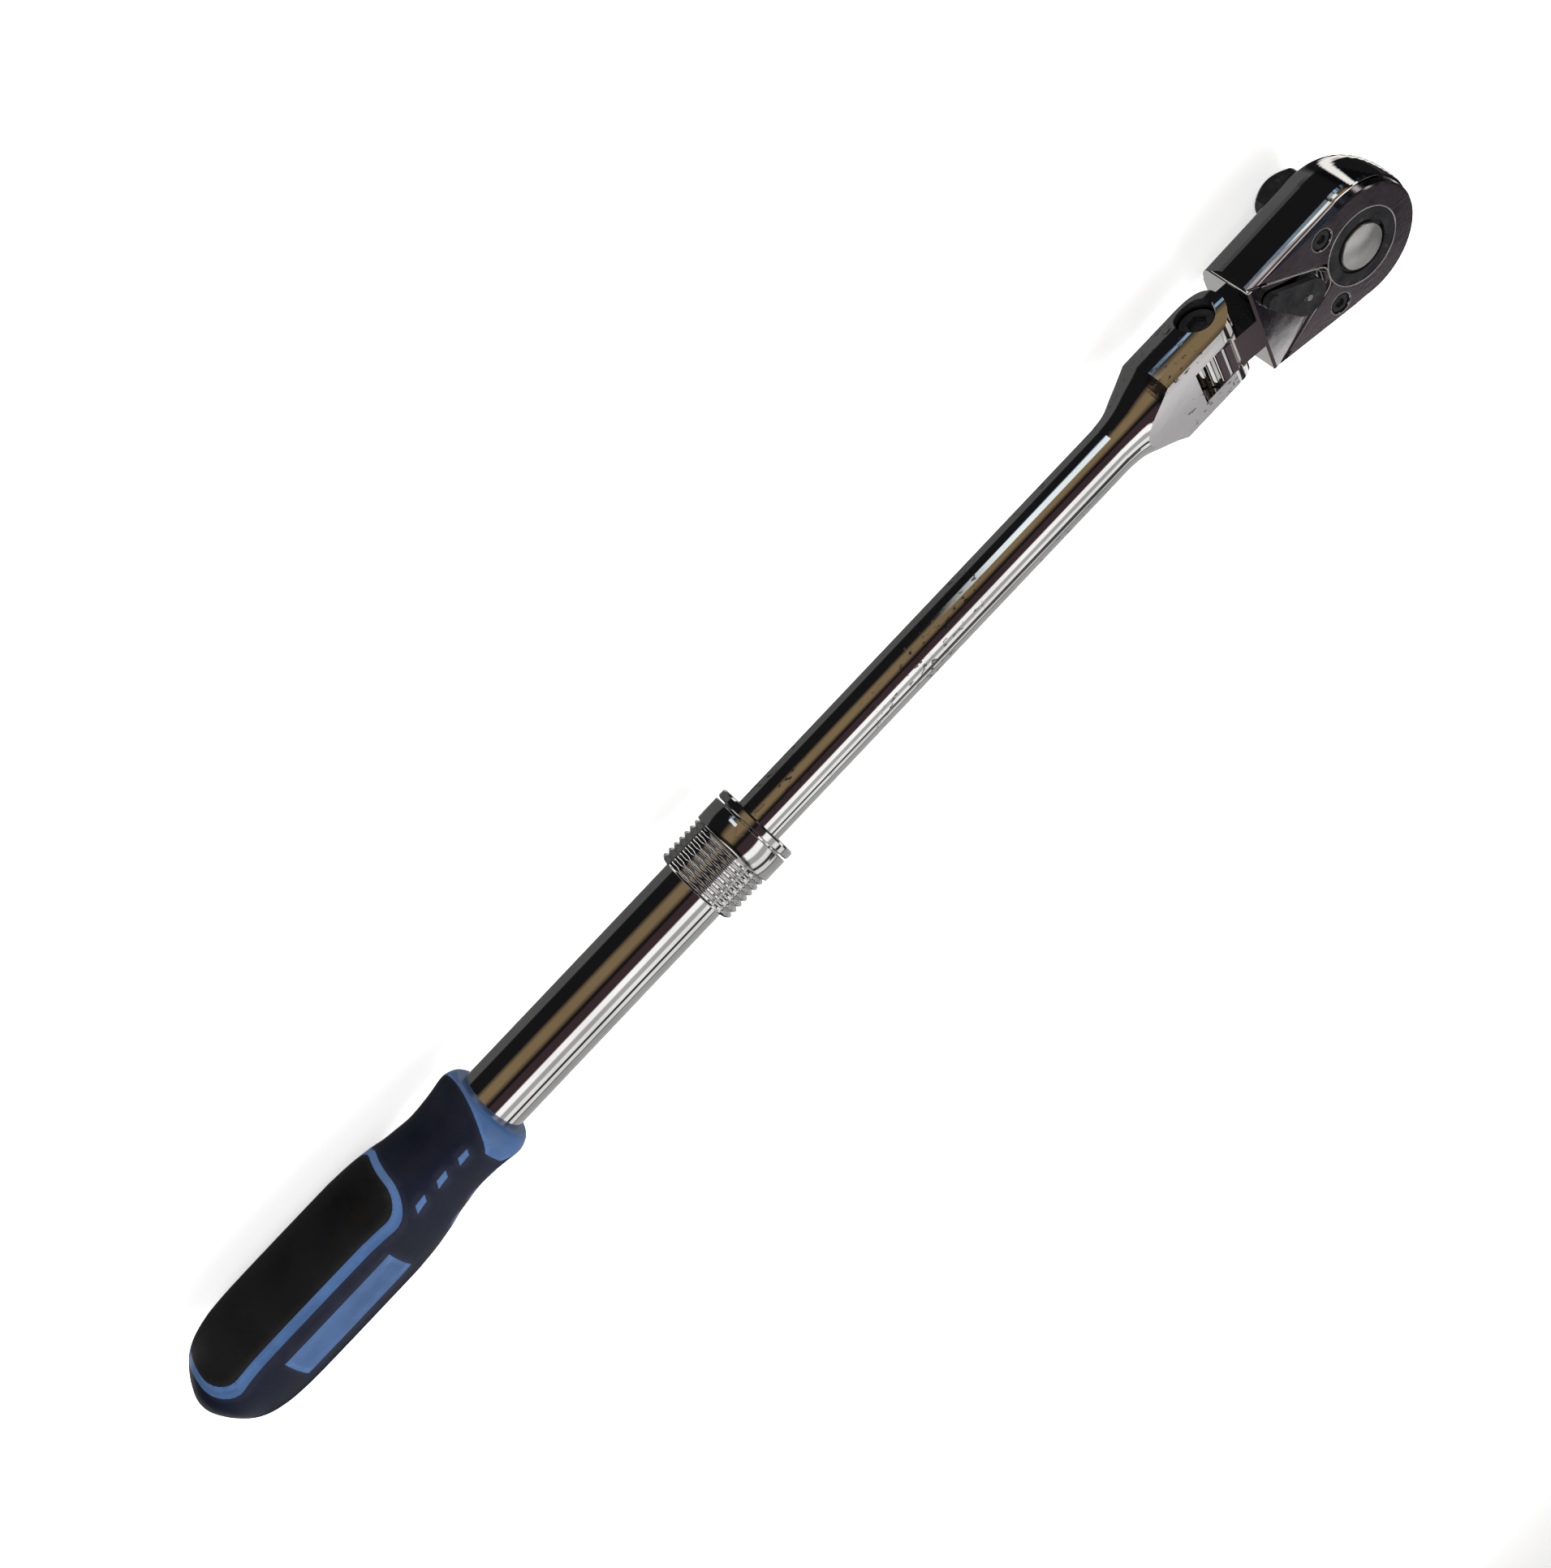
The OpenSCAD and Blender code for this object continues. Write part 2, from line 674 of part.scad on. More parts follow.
module drive_ball() {
    color("lightgray") on_drive() rotate([0, 0, drive_turn]) translate([-4.95, 0, drive_ball_z]) sphere(r = 2.3);
}

// ---- Reversing mechanism ----

// Crescent with a row of teeth on the side that faces the gear
module pawl() {
    step = 360 / teeth;
    reach = 5;
    color("gray") on_drive() rotate([0, 0, 180 + pawl_shift]) translate([0, 0, -5.4])
        linear_extrude(10.4) polygon(concat(
            arc(0, 0, 14.8, -reach * step - 2, reach * step + 2, 16),
            [for (k = [2 * reach : -1 : -2 * reach]) let (r = 13.12 + (k % 2 == 0 ? 0 : 0.6))
                [r * cos(k * step / 2), r * sin(k * step / 2)]]
        ));
}

lever_hub_r = 5.2;
lever_tab_r = 2.2;
lever_tab_x = 12.6;

module reverse_lever() {
    hub_z = face_z - 1.5;
    tab_turn = acos((lever_tab_r - lever_hub_r) / lever_tab_x);
    color("#181818") on_lever() difference() {
        union() {
            translate([0, 0, -5.9]) cylinder(r = 3.2, h = hub_z + 6);
            translate([0, 0, hub_z]) cylinder(r = lever_hub_r - 0.1, h = 2.6);
            translate([0, 0, face_z + 0.15]) linear_extrude(1.4) polygon(concat(
                arc(0, 0, lever_hub_r, -tab_turn, tab_turn, 48),
                arc(-lever_tab_x, 0, lever_tab_r, tab_turn, 360 - tab_turn, 24)
            ));
            // Thumb stud at the tab's end
            translate([-lever_tab_x, 0, face_z + 1]) cylinder(r = lever_tab_r - 0.3, h = 1.4);
        }
        translate([-1.2, 0, 0]) rotate([0, 90, 0]) cylinder(r = 1.26, h = 10);
        cylinder(r = 0.9, h = 20);
    }
}

module lever_pin() {
    color("gray") on_lever() translate([0, 0, 2]) cylinder(r = 0.88, h = face_z - 0.3, $fn = 32);
}

module selector_plunger() {
    color("lightgray") on_lever() turned([[1.4, 0], [1.4, 1.2], [2.9, 1.2], [3.3, 0.9], [3.5, 0.4], [3.5, 0]]);
}

module selector_spring() {
    color("gray") on_lever() translate([-1.15, 0, 0]) rotate([0, 90, 0]) coil(0.85, 0.22, 2.5, 4);
}

outer_tube();
tube_end_plug();
grip_core();
grip_overmold();
palm_pads();
lock_sleeve();
sleeve_spring();
spring_seat_ring();
lock_ball_side();
lock_ball_under();
front_ring();
wiper_ring();
yoke_shaft();
rear_guide();
guide_clip();
pivot_screw();
flex_washers();
flex_plunger();
flex_spring();
head_body();
cover_plate();
cover_screws();
drive_gear();
button_retainer();
release_button();
button_spring();
drive_ball();
pawl();
reverse_lever();
lever_pin();
selector_plunger();
selector_spring();
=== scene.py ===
"""Looks of the telescopic flex-head ratchet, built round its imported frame. Metres throughout."""
import json
import math
import bmesh
import bpy
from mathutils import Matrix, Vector


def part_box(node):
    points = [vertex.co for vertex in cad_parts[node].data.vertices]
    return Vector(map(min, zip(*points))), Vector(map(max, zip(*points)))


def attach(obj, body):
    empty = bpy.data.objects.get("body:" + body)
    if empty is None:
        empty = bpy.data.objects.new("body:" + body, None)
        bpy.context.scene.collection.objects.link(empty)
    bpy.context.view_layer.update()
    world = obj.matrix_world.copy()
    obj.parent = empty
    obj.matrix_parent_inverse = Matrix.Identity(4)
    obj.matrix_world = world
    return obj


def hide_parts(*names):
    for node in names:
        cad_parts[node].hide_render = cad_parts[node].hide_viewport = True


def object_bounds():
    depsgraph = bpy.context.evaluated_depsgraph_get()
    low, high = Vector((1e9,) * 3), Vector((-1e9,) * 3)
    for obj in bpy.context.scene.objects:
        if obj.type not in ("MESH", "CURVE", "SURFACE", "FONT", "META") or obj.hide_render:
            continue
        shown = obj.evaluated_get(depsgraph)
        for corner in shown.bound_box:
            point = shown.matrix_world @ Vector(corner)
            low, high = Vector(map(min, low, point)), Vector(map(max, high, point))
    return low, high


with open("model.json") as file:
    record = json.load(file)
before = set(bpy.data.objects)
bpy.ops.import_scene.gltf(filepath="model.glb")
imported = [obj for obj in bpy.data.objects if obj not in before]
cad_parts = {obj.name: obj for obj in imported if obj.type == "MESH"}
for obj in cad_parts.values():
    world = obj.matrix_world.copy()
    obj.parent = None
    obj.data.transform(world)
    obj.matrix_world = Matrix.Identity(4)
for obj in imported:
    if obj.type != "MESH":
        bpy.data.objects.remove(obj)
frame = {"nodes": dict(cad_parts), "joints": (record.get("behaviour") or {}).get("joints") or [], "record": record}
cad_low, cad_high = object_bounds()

MM = 0.001

# ---------------------------------------------------------------- places taken from the frame

nodes = frame["nodes"]
flex_joint = next(j for j in frame["joints"] if j["name"] == "head_flex")
drive_joint = next(j for j in frame["joints"] if j["name"] == "drive_spin")
# The flex pivot lies on the handle's own line, so it also gives that line's height
PIVOT = Vector(flex_joint["pos_m"])
AXIS_Z = PIVOT.z
HEAD_UP = Vector(drive_joint["axis"]).normalized()

# ---------------------------------------------------------------- node helpers


def new_material(name):
    material = bpy.data.materials.new(name)
    material.use_nodes = True
    tree = material.node_tree
    tree.nodes.clear()
    out = tree.nodes.new("ShaderNodeOutputMaterial")
    shader = tree.nodes.new("ShaderNodeBsdfPrincipled")
    tree.links.new(shader.outputs[0], out.inputs[0])
    coords = tree.nodes.new("ShaderNodeTexCoord")
    return material, tree, shader, coords.outputs["Object"]


def noise_node(tree, coords, scale, detail=3.0, stretch=(1, 1, 1)):
    mapping = tree.nodes.new("ShaderNodeMapping")
    mapping.inputs["Scale"].default_value = stretch
    tree.links.new(coords, mapping.inputs["Vector"])
    node = tree.nodes.new("ShaderNodeTexNoise")
    node.inputs["Scale"].default_value = scale
    node.inputs["Detail"].default_value = detail
    tree.links.new(mapping.outputs[0], node.inputs["Vector"])
    return node.outputs[0]


def remap(tree, value, low, high, to_low, to_high):
    node = tree.nodes.new("ShaderNodeMapRange")
    node.inputs["From Min"].default_value = low
    node.inputs["From Max"].default_value = high
    node.inputs["To Min"].default_value = to_low
    node.inputs["To Max"].default_value = to_high
    tree.links.new(value, node.inputs["Value"])
    return node.outputs[0]


def math_node(tree, operation, a, b=None):
    node = tree.nodes.new("ShaderNodeMath")
    node.operation = operation
    for i, v in enumerate((a, b)):
        if v is None:
            continue
        if isinstance(v, (int, float)):
            node.inputs[i].default_value = v
        else:
            tree.links.new(v, node.inputs[i])
    return node.outputs[0]


def mix_colour(tree, factor, a, b):
    node = tree.nodes.new("ShaderNodeMix")
    node.data_type = "RGBA"
    for socket, v in ((node.inputs[0], factor), (node.inputs[6], a), (node.inputs[7], b)):
        if isinstance(v, tuple):
            socket.default_value = (*v, 1)
        elif isinstance(v, (int, float)):
            socket.default_value = v
        else:
            tree.links.new(v, socket)
    return node.outputs[2]


def bump(tree, shader, height, strength, distance):
    node = tree.nodes.new("ShaderNodeBump")
    node.inputs["Strength"].default_value = strength
    node.inputs["Distance"].default_value = distance
    tree.links.new(height, node.inputs["Height"])
    tree.links.new(node.outputs[0], shader.inputs["Normal"])


def edge_wear(tree, low=0.505, high=0.56):
    """1 on sharp convex edges, 0 elsewhere."""
    geometry = tree.nodes.new("ShaderNodeNewGeometry")
    return remap(tree, geometry.outputs["Pointiness"], low, high, 0, 1)


# ---------------------------------------------------------------- materials
# Noise scales count features per metre; noise values lie near 0.3 to 0.7, which each remap spreads out

WORN_SPOT = (0.06, 0.05, 0.045)


def chrome(name, tint=(0.80, 0.79, 0.78), rough=0.035, scratch=(1, 1, 1), chips=0.0):
    """Polished plating with smudges and fine scratches; chips above 0 adds patches of small worn spots."""
    material, tree, shader, coords = new_material(name)
    shader.inputs["Metallic"].default_value = 1.0
    smudge = noise_node(tree, coords, scale=55, detail=4)
    fine = noise_node(tree, coords, scale=1400, detail=2, stretch=scratch)
    darker = tuple(c * 0.86 for c in tint)
    plating = mix_colour(tree, remap(tree, smudge, 0.35, 0.7, 0, 1), tint, darker)
    along_part = (0.5, 1, 1)
    worn_patch = remap(tree, noise_node(tree, coords, scale=70, detail=2, stretch=along_part), 0.5, 0.6, 0, chips)
    chip = remap(tree, noise_node(tree, coords, scale=1000, detail=3, stretch=along_part), 0.6, 0.64, 0, 1)
    chipped = math_node(tree, "MULTIPLY", worn_patch, chip)
    tree.links.new(mix_colour(tree, chipped, plating, WORN_SPOT), shader.inputs["Base Color"])
    smudged = remap(tree, smudge, 0.35, 0.75, rough * 0.7, rough * 1.5)
    scratched = math_node(tree, "ADD", smudged, remap(tree, fine, 0.3, 0.8, 0, rough * 0.5))
    roughness = math_node(tree, "ADD", scratched, math_node(tree, "MULTIPLY", chipped, 0.3))
    tree.links.new(roughness, shader.inputs["Roughness"])
    wave = noise_node(tree, coords, scale=90, detail=2)
    height = math_node(tree, "ADD", math_node(tree, "MULTIPLY", wave, 1.0), math_node(tree, "MULTIPLY", fine, 0.04))
    bump(tree, shader, height, strength=0.12, distance=0.1 * MM)
    return material


def satin_metal(name, tint, rough, grain=(1, 1, 1)):
    """Brushed or turned metal with darker blots and a fine grain."""
    material, tree, shader, coords = new_material(name)
    shader.inputs["Metallic"].default_value = 1.0
    blot = noise_node(tree, coords, scale=120, detail=4)
    lines = noise_node(tree, coords, scale=2500, detail=2, stretch=grain)
    darker = tuple(c * 0.8 for c in tint)
    tree.links.new(mix_colour(tree, remap(tree, blot, 0.35, 0.7, 0, 1), tint, darker), shader.inputs["Base Color"])
    blotched = remap(tree, blot, 0.3, 0.7, rough * 0.8, rough * 1.15)
    grained = remap(tree, lines, 0.3, 0.7, 0, rough * 0.25)
    tree.links.new(math_node(tree, "ADD", blotched, grained), shader.inputs["Roughness"])
    bump(tree, shader, lines, strength=0.25, distance=0.04 * MM)
    return material


def black_steel(name):
    """Blackened steel with a few paler worn spots."""
    material, tree, shader, coords = new_material(name)
    shader.inputs["Specular IOR Level"].default_value = 0.12
    blot = noise_node(tree, coords, scale=300, detail=4)
    wear = remap(tree, noise_node(tree, coords, scale=700, detail=5), 0.62, 0.75, 0, 0.5)
    base = mix_colour(tree, remap(tree, blot, 0.3, 0.7, 0, 1), (0.006, 0.006, 0.007), (0.012, 0.012, 0.012))
    tree.links.new(mix_colour(tree, wear, base, (0.04, 0.039, 0.038)), shader.inputs["Base Color"])
    tree.links.new(remap(tree, blot, 0.3, 0.7, 0.24, 0.42), shader.inputs["Roughness"])
    bump(tree, shader, noise_node(tree, coords, scale=1800, detail=3), strength=0.25, distance=0.05 * MM)
    return material


def plastic(name, tint, rough, grain_scale, grain_depth):
    """Moulded plastic or rubber with a fine grain, paler where its edges are rubbed."""
    material, tree, shader, coords = new_material(name)
    shader.inputs["Specular IOR Level"].default_value = 0.3
    blot = noise_node(tree, coords, scale=70, detail=4)
    lighter = tuple(min(1, c * 1.35 + 0.0006) for c in tint)
    rubbed = tuple(min(1, c * 2 + 0.006) for c in tint)
    worn = math_node(tree, "MULTIPLY", edge_wear(tree), 0.5)
    base = mix_colour(tree, remap(tree, blot, 0.35, 0.65, 0, 1), tint, lighter)
    tree.links.new(mix_colour(tree, worn, base, rubbed), shader.inputs["Base Color"])
    tree.links.new(remap(tree, blot, 0.3, 0.7, rough * 0.85, rough * 1.15), shader.inputs["Roughness"])
    bump(tree, shader, noise_node(tree, coords, grain_scale, detail=3), strength=0.35, distance=grain_depth)
    return material


looks = {
    "chrome_tube": chrome("chrome_tube", scratch=(0.05, 1, 1)),
    "chrome_shaft": chrome("chrome_shaft", scratch=(0.05, 1, 1), chips=0.85),
    "chrome_sleeve": chrome("chrome_sleeve", (0.78, 0.77, 0.76), 0.05),
    "chrome_head": chrome("chrome_head", (0.78, 0.77, 0.76), 0.04),
    "satin_plate": satin_metal("satin_plate", (0.44, 0.40, 0.42), 0.13, (0.1, 1, 1)),
    "hard_blue": plastic("hard_blue", (0.02, 0.044, 0.1), 0.34, 900, 0.03 * MM),
    "soft_navy": plastic("soft_navy", (0.0018, 0.0026, 0.0075), 0.45, 1500, 0.05 * MM),
    "soft_black": plastic("soft_black", (0.0018, 0.0018, 0.0022), 0.5, 1800, 0.06 * MM),
    "black_steel": black_steel("black_steel"),
    "steel": satin_metal("steel", (0.6, 0.6, 0.59), 0.25),
    "spring_steel": satin_metal("spring_steel", (0.4, 0.4, 0.4), 0.3),
    "satin_button": satin_metal("satin_button", (0.62, 0.61, 0.6), 0.3),
    "wiper_rubber": plastic("wiper_rubber", (0.01, 0.01, 0.01), 0.5, 1500, 0.05 * MM),
    "guide_bronze": satin_metal("guide_bronze", (0.62, 0.42, 0.2), 0.3),
    "black_plastic": plastic("black_plastic", (0.02, 0.02, 0.02), 0.4, 1500, 0.04 * MM),
}

slot_of = {s["node"]: s["material_slot"] for s in frame["record"]["subparts"]}
for node_name, node_object in nodes.items():
    for material_slot in node_object.material_slots:
        material_slot.material = looks[slot_of[node_name]]

# ---------------------------------------------------------------- the lock sleeve's fluted ribs

RIBS, STEPS_PER_RIB = 7, 12
FLUTES, STEPS_PER_FLUTE = 18, 10
RIBS_LENGTH = 14 * MM
RIB_ROOT_R = 11.2
RIB_HEIGHT = 0.95
CREST_FULLNESS = 0.8
FLUTE_DEPTH = 0.26 * MM
SLEEVE_R = 12.4 * MM
CHAMFER_R = 12.2 * MM
POCKET_R = 10.85 * MM
POCKET_LENGTH = 10 * MM
BORE_R = 9.78 * MM
SHARP_ANGLE = 45


def skin(name, points, faces, slot, body):
    """A smooth-shaded piece that rides on a body."""
    mesh = bpy.data.meshes.new(name)
    mesh.from_pydata(points, [], faces)
    mesh.validate()
    for polygon in mesh.polygons:
        polygon.use_smooth = True
    piece = bpy.data.objects.new(name, mesh)
    bpy.context.scene.collection.objects.link(piece)
    mesh.materials.append(looks[slot])
    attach(piece, body)
    return piece


def sharp_edges(piece):
    """Face the piece outwards and keep its steep edges crisp."""
    form = bmesh.new()
    form.from_mesh(piece.data)
    bmesh.ops.recalc_face_normals(form, faces=form.faces)
    for edge in form.edges:
        edge.smooth = edge.calc_face_angle(0) < math.radians(SHARP_ANGLE)
    form.to_mesh(piece.data)
    form.free()


def around_handle(x, radius, angle):
    """A place round the handle's line, with the angle measured from +Y towards +Z."""
    return (x, radius * math.cos(angle), AXIS_Z + radius * math.sin(angle))


sleeve_rear, sleeve_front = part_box("lock_sleeve")[0][0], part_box("lock_sleeve")[1][0]
band = sleeve_rear + RIBS_LENGTH
pocket_end = sleeve_rear + POCKET_LENGTH

# Each ring is its place along the handle, its radius, and how far it is up a rib's crest
rings = []
steps = RIBS * STEPS_PER_RIB
for k in range(steps + 1):
    crest = abs(math.sin(math.pi * RIBS * k / steps)) ** CREST_FULLNESS
    rings.append((sleeve_rear + RIBS_LENGTH * k / steps, (RIB_ROOT_R + RIB_HEIGHT * crest) * MM, crest))
rings += [
    (band + 0.12 * MM, CHAMFER_R, 0),
    (band + 0.35 * MM, SLEEVE_R, 0),
    (sleeve_front - 0.22 * MM, SLEEVE_R, 0),
    (sleeve_front - 0.1 * MM, 12.33 * MM, 0),
    (sleeve_front, CHAMFER_R, 0),
    (sleeve_front, BORE_R, 0),
    (pocket_end, BORE_R, 0),
    (pocket_end, POCKET_R, 0),
    (sleeve_rear, POCKET_R, 0),
]
turns = FLUTES * STEPS_PER_FLUTE
points, faces = [], []
for x, radius, crest in rings:
    for k in range(turns):
        scallop = 0.5 + 0.5 * math.cos(2 * math.pi * k / STEPS_PER_FLUTE)
        points.append(around_handle(x, radius - FLUTE_DEPTH * crest * scallop, 2 * math.pi * k / turns))
for i in range(len(rings)):
    row, following = i * turns, ((i + 1) % len(rings)) * turns
    for k in range(turns):
        nxt = (k + 1) % turns
        faces.append((row + k, row + nxt, following + nxt, following + k))
sleeve = skin("fluted_lock_sleeve", points, faces, "chrome_sleeve", "sleeve")
sharp_edges(sleeve)
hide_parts("lock_sleeve")

# Outlined arrow on the sleeve's smooth band, on the side that faces the user, pointing to the handle
ARROW_X = band + 4.6 * MM
ARROW_TURN = math.radians(33)
ARROW_LIFT = 0.02 * MM
outline = []
for reach, shift in ((1.7, 0), (1.0, -0.25)):
    for k in range(3):
        corner = math.pi + 2 * math.pi * k / 3
        along, across = (reach * math.cos(corner) + shift) * MM, reach * math.sin(corner) * MM
        outline.append(around_handle(ARROW_X + along, SLEEVE_R + ARROW_LIFT, ARROW_TURN + across / SLEEVE_R))
outline_faces = [(k, (k + 1) % 3, 3 + (k + 1) % 3, 3 + k) for k in range(3)]
arrow = skin("sleeve_arrow", outline, outline_faces, "satin_button", "sleeve")
sharp_edges(arrow)

# ---------------------------------------------------------------- rounded edges on the head's top face

# Millimetres in the head's own frame, from the flex pivot: X along the head, Y across it, Z up through its face
PIVOT_TO_DRIVE = 44.6
FACE_Z = 8.6
GEAR_OPENING_R = 10.75
SCREW_BACK, SCREW_SIDE, SCREW_RECESS_R = 10, 11.85, 3.2
V_ARM_END = (15.6, 13.0)
V_TIP = ((30.9, 4.1), (31.8, 3.2), (32.3, 1.9))
HEAD_ALONG = Vector((HEAD_UP.z, 0, -HEAD_UP.x))


def head_place(x, y, z):
    """A place on the head, in millimetres from the flex pivot."""
    return PIVOT + (HEAD_ALONG * x + Vector((0, y, 0)) + HEAD_UP * z) * MM


def bead(name, path, radius, slot, closed=False, sides=8):
    """A thin round bead along a path on the head."""
    places = [head_place(*p) for p in path]
    count = len(places)
    points, faces = [], []
    for i, place in enumerate(places):
        before = places[i - 1] if closed or i else place
        after = places[(i + 1) % count] if closed or i < count - 1 else place
        along = (after - before).normalized()
        across = along.cross(HEAD_UP).normalized()
        up = across.cross(along)
        for k in range(sides):
            angle = 2 * math.pi * k / sides
            points.append(place + (across * math.cos(angle) + up * math.sin(angle)) * radius * MM)
    for i in range(count if closed else count - 1):
        row, following = i * sides, ((i + 1) % count) * sides
        for k in range(sides):
            nxt = (k + 1) % sides
            faces.append((row + k, row + nxt, following + nxt, following + k))
    if not closed:
        faces += [tuple(range(sides - 1, -1, -1)), tuple(range((count - 1) * sides, count * sides))]
    return skin(name, points, faces, slot, "head")


def circle_path(x, y, radius, z, count):
    turn_by = 2 * math.pi / count
    return [(x + radius * math.cos(k * turn_by), y + radius * math.sin(k * turn_by), z) for k in range(count)]


opening = circle_path(PIVOT_TO_DRIVE, 0, GEAR_OPENING_R, FACE_Z - 0.1, count=96)
bead("gear_opening_rim", opening, 0.22, "steel", closed=True)
for side, label in ((1, "near"), (-1, "far")):
    recess = circle_path(PIVOT_TO_DRIVE - SCREW_BACK, side * SCREW_SIDE, SCREW_RECESS_R, FACE_Z - 0.12, count=48)
    bead("screw_recess_rim_" + label, recess, 0.15, "steel", closed=True)


def v_path(shift, z_tip, z_arm):
    """The plate's V-shaped rear edge, moved forwards by shift."""
    arm = [(*V_ARM_END, z_arm)] + [(*place, z_tip) for place in V_TIP]
    path = arm + [(x, -y, z) for x, y, z in reversed(arm)]
    return [(x + shift, y, z) for x, y, z in path]


bead("plate_edge_upper", v_path(1.5, z_tip=FACE_Z - 0.1, z_arm=FACE_Z - 0.1), 0.24, "satin_button")
bead("plate_edge_lower", v_path(0.1, z_tip=FACE_Z - 1.25, z_arm=FACE_Z - 0.5), 0.22, "satin_button")

# ---------------------------------------------------------------- stage: floor, light and camera

FLOOR_HALF = 8
FLOOR_GAP = 0.2 * MM
FLOOR_GLOW = 0.4


def flat_sheet(name, size, z):
    mesh = bpy.data.meshes.new(name)
    mesh.from_pydata([(-size, -size, z), (size, -size, z), (size, size, z), (-size, size, z)], [], [(0, 1, 2, 3)])
    sheet = bpy.data.objects.new(name, mesh)
    bpy.context.scene.collection.objects.link(sheet)
    return sheet


floor = flat_sheet("floor", FLOOR_HALF, cad_low.z - FLOOR_GAP)
floor_material, tree, shader, coords = new_material("floor_paint")
shader.inputs["Roughness"].default_value = 0.9
floor_tint = mix_colour(tree, noise_node(tree, coords, scale=3), (0.9, 0.9, 0.9), (0.93, 0.93, 0.93))
tree.links.new(floor_tint, shader.inputs["Base Color"])
shader.inputs["Emission Color"].default_value = (1, 1, 1, 1)
shader.inputs["Emission Strength"].default_value = FLOOR_GLOW
floor.data.materials.append(floor_material)
floor.visible_glossy = False

world = bpy.data.worlds.new("studio")
bpy.context.scene.world = world
world.use_nodes = True
tree = world.node_tree
tree.nodes.clear()
coords = tree.nodes.new("ShaderNodeTexCoord").outputs["Generated"]
split = tree.nodes.new("ShaderNodeSeparateXYZ")
tree.links.new(coords, split.inputs[0])
towards_x = split.outputs[0]
turn = math_node(tree, "ARCTAN2", split.outputs[2], split.outputs[1])

NEAR_BLACK = (0.01, 0.01, 0.011)
SIDE_BLACK = (0.004, 0.004, 0.005)

# The studio is a dark room hung with broad strips along the tool. Each has the directions round X it fills, in
# degrees from +Y towards +Z, how softly its edges fade, also in degrees, and its light
STRIPS = {
    "floor behind": (-180, -120, 10, (0.45, 0.45, 0.44)),
    "floor in shade": (-115, -60, 5, (0.1, 0.1, 0.1)),
    "warm room in front": (5, 25, 15, (0.24, 0.17, 0.09)),
    "dim plum wall": (50, 72, 5, (0.05, 0.03, 0.035)),
    "overhead lamp": (76, 92, 4, (1.2, 1.2, 1.2)),
    "ceiling": (95, 106, 5, (0.45, 0.45, 0.45)),
    "second lamp": (110, 121, 4, (1.0, 1.0, 1.0)),
    "third lamp": (134, 146, 4, (0.9, 0.9, 0.9)),
    "wall behind": (154, 180, 5, (0.4, 0.4, 0.4)),
}


def both(a, b):
    return math_node(tree, "MULTIPLY", a, b)


def by_turn(from_turn, to_turn, from_value, to_value):
    return remap(tree, turn, math.radians(from_turn), math.radians(to_turn), from_value, to_value)


def by_x(from_x, to_x, from_value, to_value):
    return remap(tree, towards_x, from_x, to_x, from_value, to_value)


around = NEAR_BLACK
for from_turn, to_turn, fade, light in STRIPS.values():
    rise = by_turn(from_turn - fade, from_turn, 0, 1)
    fall = by_turn(to_turn, to_turn + fade, 1, 0)
    around = mix_colour(tree, both(rise, fall), around, light)


def card(from_turn, to_turn, from_x, to_x, colour, below):
    """Lay a soft-edged card over the studio, between two directions round X and beyond one along X."""
    rise = by_turn(from_turn - 1.5, from_turn, 0, 1)
    fall = by_turn(to_turn, to_turn + 0.8, 1, 0)
    return mix_colour(tree, both(both(rise, fall), by_x(from_x, to_x, 0, 1)), below, colour)


# A dark corner behind the handle, low down
behind = both(by_turn(-115, -120, 0, 1), by_x(-0.27, -0.3, 0, 1))
around = mix_colour(tree, behind, around, NEAR_BLACK)
# A dark card that the head's flat top mirrors, and a grey one for the yoke's flat
head_card = mix_colour(tree, by_x(0.12, 0.3, 0, 1), (0.15, 0.115, 0.13), (0.012, 0.009, 0.013))
around = card(132.5, 139.4, 0.03, 0.12, head_card, around)
around = card(141, 144, 0.15, 0.22, (0.46, 0.45, 0.46), around)
# A bright window that streaks the shaft in front of the yoke, and a patchy blue card for the ear's side
window = mix_colour(tree, by_x(0.29, 0.33, 0, 1), (1.0, 1.1, 1.12), around)
around = card(-15, 8, 0.15, 0.19, window, around)
patchy = remap(tree, noise_node(tree, coords, scale=14, detail=4), 0.45, 0.62, 0, 1)
blue_card = mix_colour(tree, patchy, around, (0.3, 0.5, 0.72))
around = card(-20, -11, 0.2, 0.3, blue_card, around)
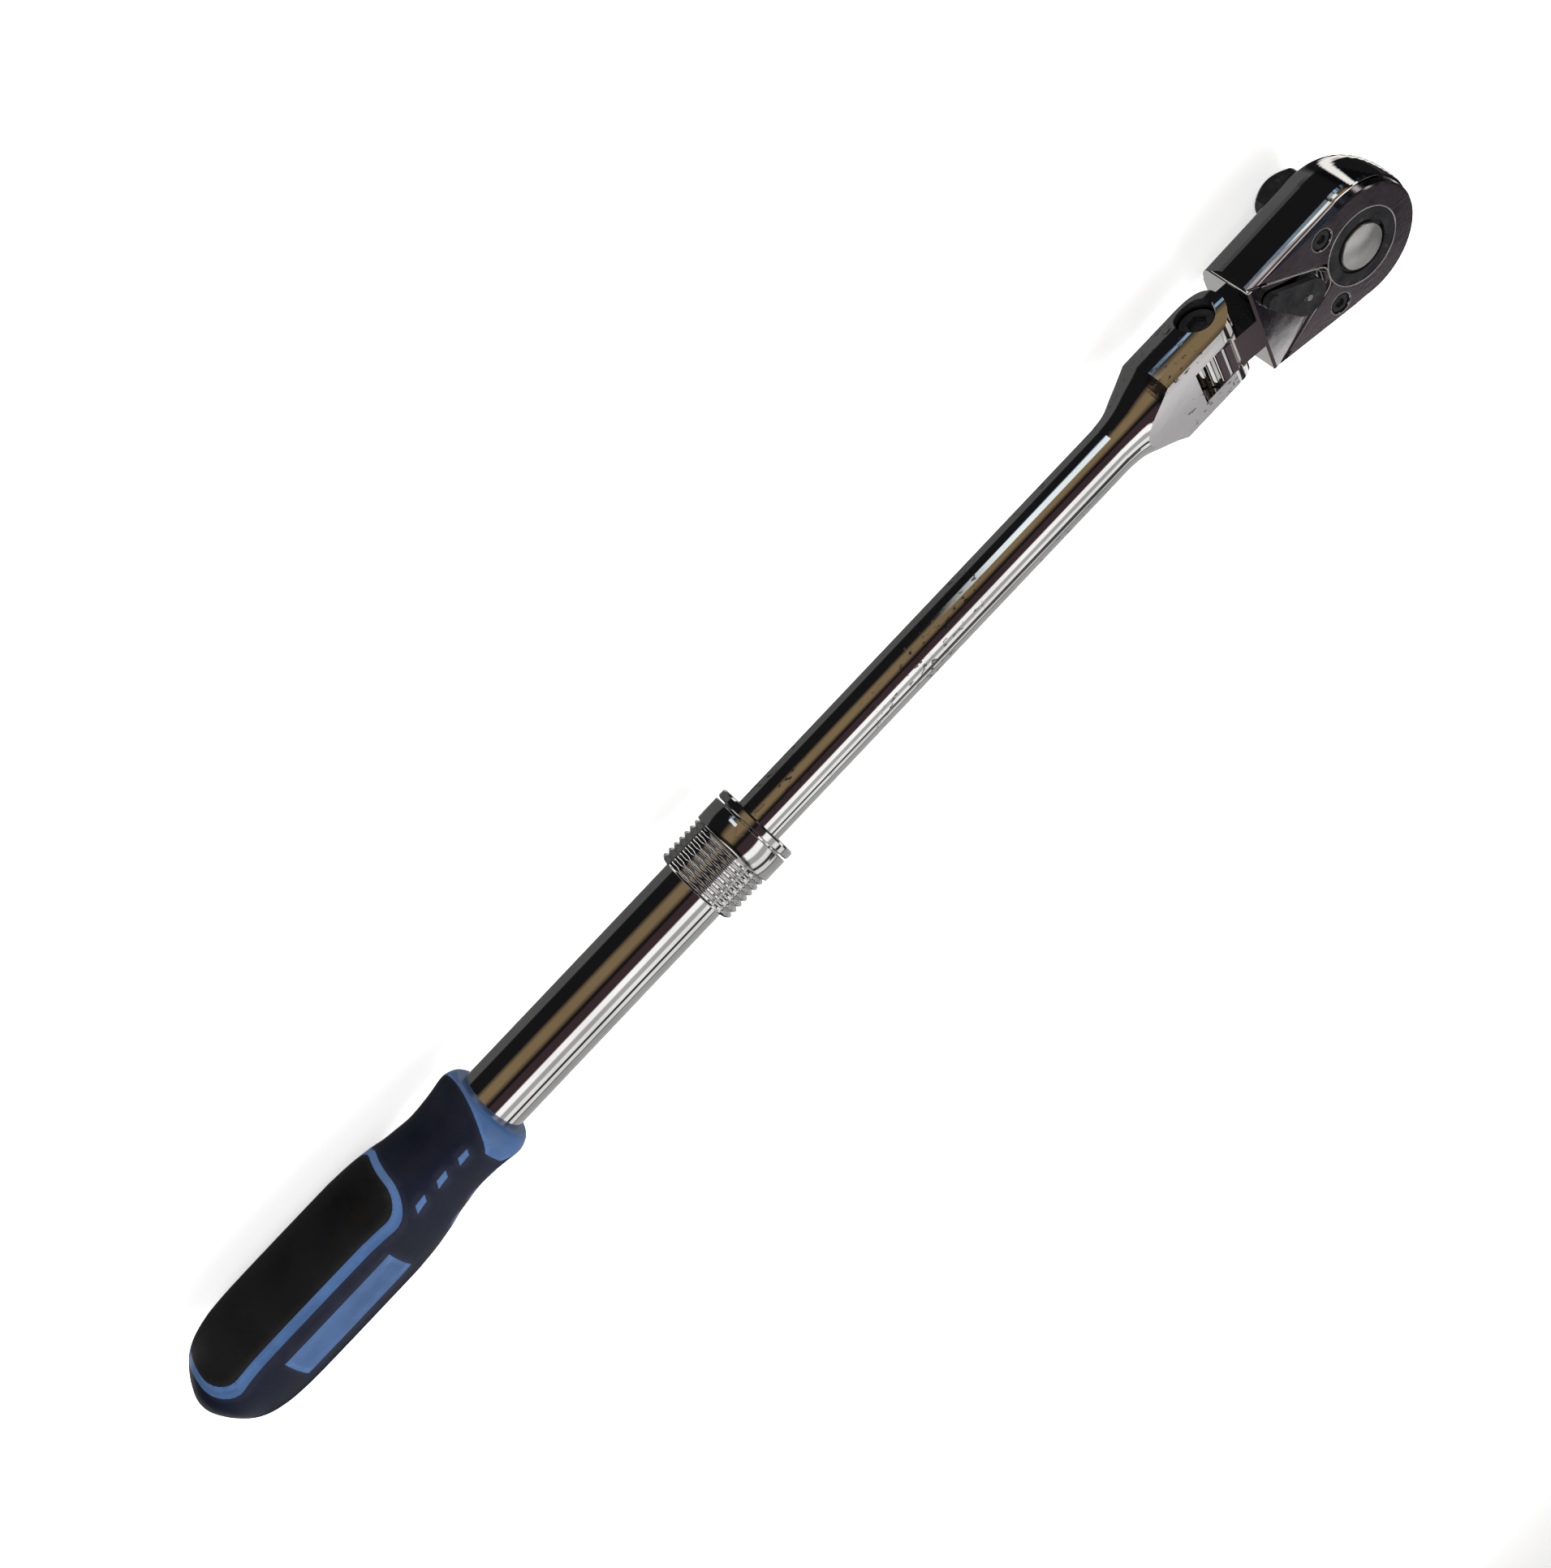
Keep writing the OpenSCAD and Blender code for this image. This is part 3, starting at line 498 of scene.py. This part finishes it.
# To the far left and right the studio is dark but for one lamp each, which the ribs and rounded edges pick up
sideways = math_node(tree, "ABSOLUTE", towards_x)
around = mix_colour(tree, remap(tree, sideways, 0.48, 0.56, 0, 0.93), around, SIDE_BLACK)
lamp = both(remap(tree, sideways, 0.64, 0.67, 0, 1), remap(tree, sideways, 0.74, 0.77, 1, 0))
around = mix_colour(tree, lamp, around, (1.1, 1.08, 1.05))

# Reflections see the studio, and the camera itself sees plain white
lit = tree.nodes.new("ShaderNodeBackground")
tree.links.new(around, lit.inputs[0])
lit.inputs[1].default_value = 1.0
plain = tree.nodes.new("ShaderNodeBackground")
plain.inputs[0].default_value = (1, 1, 1, 1)
path = tree.nodes.new("ShaderNodeLightPath")
choose = tree.nodes.new("ShaderNodeMixShader")
tree.links.new(path.outputs["Is Camera Ray"], choose.inputs[0])
tree.links.new(lit.outputs[0], choose.inputs[1])
tree.links.new(plain.outputs[0], choose.inputs[2])
world_out = tree.nodes.new("ShaderNodeOutputWorld")
tree.links.new(choose.outputs[0], world_out.inputs[0])


def area_light(name, place, target, size, power):
    """A soft light aimed at target; it has no mirror image in the chrome."""
    data = bpy.data.lights.new(name, "AREA")
    data.shape = "RECTANGLE"
    data.size, data.size_y = size
    data.energy = power
    light = bpy.data.objects.new(name, data)
    light.location = place
    light.rotation_euler = (Vector(target) - Vector(place)).to_track_quat("-Z", "Y").to_euler()
    light.visible_glossy = False
    bpy.context.scene.collection.objects.link(light)
    return light


middle_x = (cad_low.x + cad_high.x) / 2
area_light("key", (middle_x, -0.5, 1.2), (middle_x, 0, 0), (1.6, 1.0), power=38)
area_light("fill", (middle_x - 0.3, 1.1, 0.7), (middle_x, 0, 0), (1.4, 1.0), power=20)

# Where the camera stands from the flex pivot, and its turn in degrees
CAMERA_FROM_PIVOT = (-0.16353, 0.32737, 0.27448)
CAMERA_TURN = (-38.83, -33.63, -34.25)
CAMERA_LENS = 37.2

camera_data = bpy.data.cameras.new("camera")
camera_data.lens = CAMERA_LENS
camera_data.clip_start, camera_data.clip_end = 0.01, 50
camera = bpy.data.objects.new("camera", camera_data)
camera.location = PIVOT + Vector(CAMERA_FROM_PIVOT)
camera.rotation_euler = [math.radians(degrees) for degrees in CAMERA_TURN]
bpy.context.scene.collection.objects.link(camera)
bpy.context.scene.camera = camera
bpy.context.scene.view_settings.view_transform = "Standard"
